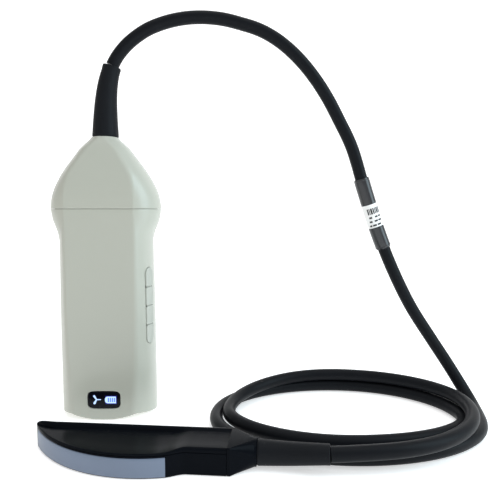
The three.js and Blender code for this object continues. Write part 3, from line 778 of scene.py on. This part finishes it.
# ---------------------------------------------------------------- probe
def place_probe(x, y, z):
    """Probe coordinates to the part's: x towards the cable, y away from the lens."""
    turn = math.radians(PROBE["turn"])
    px, py = PROBE["place"]
    return (px + x * math.cos(turn) - y * math.sin(turn),
            py + x * math.sin(turn) + y * math.cos(turn), z)


FULL_WIDTH = 11         # of the plan outline, where the sections have their full detail


def near_edge(x):
    """Lens-side edge of the probe's plan outline: handle, smooth run and lens arc."""
    handle, arc_end = PROBE["handle_from"], PROBE["arc_to"]
    cx, cy = PROBE["arc_centre"]
    if x >= handle:
        return -PROBE["half_width"]
    at = min(x, arc_end)
    drop = math.sqrt(PROBE["arc_radius"] ** 2 - (at - cx) ** 2)
    if x <= arc_end:
        return cy - drop
    span = handle - arc_end
    return hermite((x - arc_end) / span, span, cy - drop, -PROBE["half_width"],
                   (arc_end - cx) / drop)


def back_edge(x):
    """Far edge of the plan outline, rounding off at the tip."""
    corner, inset = PROBE["tip_corner"], 0.8
    over = min(1.0, max(0.0, PROBE["tip"] + corner - x) / corner)
    return PROBE["half_width"] - inset + inset * math.sqrt(1 - over * over)


def probe_heights(x):
    """Underside and top of the casings, both rounding off at the tip."""
    nose = min(1.0, max(0.0, PROBE["tip"] + PROBE["nose"] - x) / PROBE["nose"])
    away = 1 - math.sqrt(1 - nose * nose)
    return 3.0 * away, PROBE["top"] - 2.0 * away


def upper_section(x):
    """Cross-section of the upper casing: near rim, ridge, thumb dish and far lip.

    Distances from the two edges shrink by k where the plan outline narrows to the tip.
    """
    near, back = near_edge(x), back_edge(x)
    k = min(1.0, (back - near) / FULL_WIDTH)
    _, top = probe_heights(x)
    split = PROBE["split"] + PROBE["joint_gap"]
    h = top - split
    # The ridge climbs where the handle starts. The dish fades there and towards the tip.
    rise = 0.26 + 0.5 * ease((x + 31) / 13)
    ridge = split + rise * h
    dish = 0.62 * ease((x + 84) / 10) * (1 - 0.3 * ease((x + 32) / 12))
    wide = back - near
    points = [
        (near + 0.9 * k, split), (near + 0.06 * k, split),
        (near + 0.05 * k, split + 0.5 * rise * h), (near + 0.22 * k, split + 0.78 * rise * h),
        (near + 0.62 * k, split + 0.95 * rise * h), (near + 1.2 * k, ridge),
        (near + 1.9 * k, ridge - 0.03 * dish)]
    for share, depth in ((0.16, 0.30), (0.26, 0.66), (0.38, 0.92), (0.5, 1.0), (0.6, 0.93)):
        points.append((near + 0.6 * k + wide * share, ridge - dish * depth))
    points += [
        (back - 4.6 * k, ridge - 0.62 * dish), (back - 4.0 * k, ridge - 0.25 * dish),
        (back - 3.4 * k, ridge + (top - ridge) * 0.55),
        (back - 2.8 * k, ridge + (top - ridge) * 0.9), (back - 2.1 * k, top),
        (back - 1.3 * k, top - 0.06 * h), (back - 0.6 * k, top - 0.2 * h),
        (back - 0.15 * k, top - 0.4 * h), (back, split + 0.05 * h), (back, split),
        (back - 0.9 * k, split)]
    return points


def lower_section(x):
    """Cross-section of the lower casing, set back where the lens sits in it."""
    near, back = near_edge(x), back_edge(x)
    k = min(1.0, (back - near) / FULL_WIDTH)
    bottom, _ = probe_heights(x)
    split = PROBE["split"] - PROBE["joint_gap"]
    room = 0.2
    in_lens = lens_x(PROBE["lens_from"]) - room < x < lens_x(PROBE["lens_to"]) + room
    recess = 1.1 * k if in_lens else 0.0
    low, high = PROBE["lens_low"] - room, PROBE["lens_high"] + room
    return [
        (near + 0.9 * k, split), (near + 0.1 * k, split), (near, split - 0.15), (near, high + 0.12),
        (near + 0.1 * recess, high), (near + recess, high - 0.02), (near + recess, low + 0.02),
        (near + 0.1 * recess, low), (near + 0.12 * k, bottom * 0.6 + 0.55),
        (near + 0.45 * k, bottom + 0.18), (near + 1.1 * k, bottom), (near + 4 * k, bottom),
        (back - 4 * k, bottom), (back - 2.0 * k, bottom + 0.05), (back - 0.9 * k, bottom + 0.35),
        (back - 0.25 * k, bottom + 1.0), (back, bottom + 2.2), (back, 7.0), (back, split - 0.15),
        (back - 0.1 * k, split), (back - 0.9 * k, split)]


def lens_x(degrees):
    """Where along the probe a direction from the centre of the lens arc meets the arc."""
    return PROBE["arc_centre"][0] + PROBE["arc_radius"] * math.cos(math.radians(degrees))


def probe_stations():
    """Places of the casings' sections, dense at the tip and stepped at both ends of the lens."""
    tip, joint = PROBE["tip"], -0.05
    lens_ends = [lens_x(PROBE["lens_from"]) - 0.21, lens_x(PROBE["lens_from"]) - 0.19,
                 lens_x(PROBE["lens_to"]) + 0.19, lens_x(PROBE["lens_to"]) + 0.21]
    near_tip = [tip + 6.5 * (i / 16) ** 2 for i in range(17)]
    rest = frange(tip + 7.2, joint, 90)
    return sorted({round(x, 3) for x in (*near_tip, *rest, *lens_ends)})


def add_probe_casings():
    for name, section, node in (("probe_upper_casing", upper_section, "probe_upper_shell"),
                                ("probe_lower_casing", lower_section, "probe_lower_shell")):
        rings = [[place_probe(x, y, z) for y, z in section(x)] for x in probe_stations()]
        casing = add_piece(name, *skin(rings), "probe_plastic", sharp=38)
        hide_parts(node)


def add_lens():
    cx, cy = PROBE["arc_centre"]
    low, high = PROBE["lens_low"], PROBE["lens_high"]
    # Distance outwards from the arc and height, round the strip's cross-section.
    section = [
        (-0.95, low + 0.05), (-0.95, high - 0.05), (-0.05, high), (0.10, high - 0.22),
        (0.20, high - 0.9), (0.27, high - 2.4), (0.29, (low + high) / 2), (0.27, low + 2.4),
        (0.20, low + 0.9), (0.10, low + 0.22), (-0.05, low)]
    rings = []
    for degrees in frange(PROBE["lens_from"], PROBE["lens_to"], 80):
        angle = math.radians(degrees)
        taper = min(1.0, max(0.25, (degrees - PROBE["lens_from"] + 0.4) / 2.0))
        ring = []
        for out, z in section:
            radius = PROBE["arc_radius"] + out * (taper if out < 0 else 1)
            ring.append(place_probe(cx + radius * math.cos(angle),
                                    cy + radius * math.sin(angle), z))
        rings.append(ring)
    lens = add_piece("lens_strip", *skin(rings), "lens_silicone", sharp=40)
    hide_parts("acoustic_lens")


def add_probe_cone():
    """Cone behind the handle: flat facets that narrow to nothing as it turns round."""
    steps = 9
    corner, half_height, middle = 0.6, 6.8, 6.95
    half_width, round_end = PROBE["half_width"], PROBE["cone_end"]

    def ring(x, blend, inset=0.0):
        radius = (corner + (round_end - corner) * blend) - inset * (0.2 + 0.8 * blend)
        half_y = half_width + (round_end - half_width) * blend - inset
        half_z = half_height + (round_end - half_height) * blend - inset
        points = []
        for sy, sz, start in ((1, 1, 0), (-1, 1, 90), (-1, -1, 180), (1, -1, 270)):
            for i in range(steps):
                angle = math.radians(start + 90 * i / (steps - 1))
                points.append(place_probe(
                    x, sy * (half_y - radius) + radius * math.cos(angle),
                    middle + sz * (half_z - radius) + radius * math.sin(angle)))
        return points

    end = PROBE["cone"]
    rings = [ring(0.05, 0, 0.25), ring(0.1, 0, 0.12), ring(0.25, 0), ring(1.6, 0.0)]
    rings += [ring(x, ((x - 1.6) / (end - 2.6)) ** 0.92) for x in frange(2.4, end - 1.0, 9)]
    rings += [ring(end - 0.4, 1.0), ring(end - 0.12, 1.0, 0.12), ring(end, 1.0, 0.4)]
    cone = add_piece("probe_cone", *skin(rings), "probe_plastic", sharp=24)
    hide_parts("probe_collar")


def add_probe_boot():
    line = smooth_path([place_probe(*point) for point in PROBE_BOOT_PATH], 0.7)
    boot = add_piece("probe_strain_relief", *boot_mesh(line, 6.2, 4.75, lip=0.06), "boot_rubber",
                     sharp=40)
    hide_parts("probe_boot")


# ---------------------------------------------------------------- carried-over CAD pieces
def dress_cad_nodes():
    for subpart in frame["record"]["subparts"]:
        node = frame["nodes"][subpart["node"]]
        node.data.materials.clear()
        node.data.materials.append(MATERIALS[subpart["material_slot"]])


# ---------------------------------------------------------------- stage
FLOOR_GLOW = 0.5
WORLD_LIGHT, WORLD_SEEN = 0.6, 1.0      # strength as a light source and to the camera


def add_light(name, place, target, size, power, color=(1, 1, 1)):
    data = bpy.data.lights.new(name, "AREA")
    data.shape = "RECTANGLE"
    data.size, data.size_y = size
    data.energy = power
    data.color = color
    light = bpy.data.objects.new(name, data)
    light.location = place
    aim = Vector(target) - Vector(place)
    light.rotation_euler = aim.to_track_quat("-Z", "Y").to_euler()
    bpy.context.scene.collection.objects.link(light)


def add_stage():
    mesh = bpy.data.meshes.new("floor")
    size, back, rise, bend = 3.0, 1.6, 2.4, 0.5     # metres
    profile = [(-size, 0.0)]
    for i in range(13):
        angle = math.radians(90 * i / 12)
        profile.append((back - bend + bend * math.sin(angle), bend - bend * math.cos(angle)))
    profile.append((back, rise))
    verts = [(side * size, y, z) for y, z in profile for side in (-1, 1)]
    faces = [(2 * i, 2 * i + 1, 2 * i + 3, 2 * i + 2) for i in range(len(profile) - 1)]
    mesh.from_pydata(verts, [], faces)
    for polygon in mesh.polygons:
        polygon.use_smooth = True
    floor = bpy.data.objects.new("floor", mesh)
    bpy.context.scene.collection.objects.link(floor)
    white = material("white_sweep", (0.93, 0.93, 0.93), 0.8, tint=0.002)
    shader = white.node_tree.nodes["Principled BSDF"]
    shader.inputs["Emission Color"].default_value = (1, 1, 1, 1)
    shader.inputs["Emission Strength"].default_value = FLOOR_GLOW
    mesh.materials.append(white)

    world = bpy.data.worlds.new("studio")
    world.use_nodes = True
    nodes, links = world.node_tree.nodes, world.node_tree.links
    nodes["Background"].inputs["Color"].default_value = (1.0, 1.0, 1.0, 1)
    # Seen directly the surroundings are pure white; as a light source they are dimmer.
    seen = nodes.new("ShaderNodeLightPath")
    strength = nodes.new("ShaderNodeMapRange")
    strength.inputs["To Min"].default_value = WORLD_LIGHT
    strength.inputs["To Max"].default_value = WORLD_SEEN
    links.new(seen.outputs["Is Camera Ray"], strength.inputs["Value"])
    links.new(strength.outputs["Result"], nodes["Background"].inputs["Strength"])
    bpy.context.scene.world = world
    bpy.context.scene.view_settings.view_transform = "Standard"
    add_light("right_softbox", (0.75, -0.25, 0.45), (0.05, 0, 0.1), (0.45, 0.8), 4.4,
              color=(0.70, 0.90, 1.0))
    add_light("top_softbox", (0.1, -0.1, 1.0), (0.1, -0.05, 0), (1.0, 0.8), 2.2)


add_camera()
cable = add_cable()
on_cable = add_sleeve_and_label()
add_housing()
add_cap()
add_display()
add_keys()
add_scanner_boot()
add_probe_casings()
add_lens()
add_probe_cone()
add_probe_boot()
dress_cad_nodes()
add_stage()
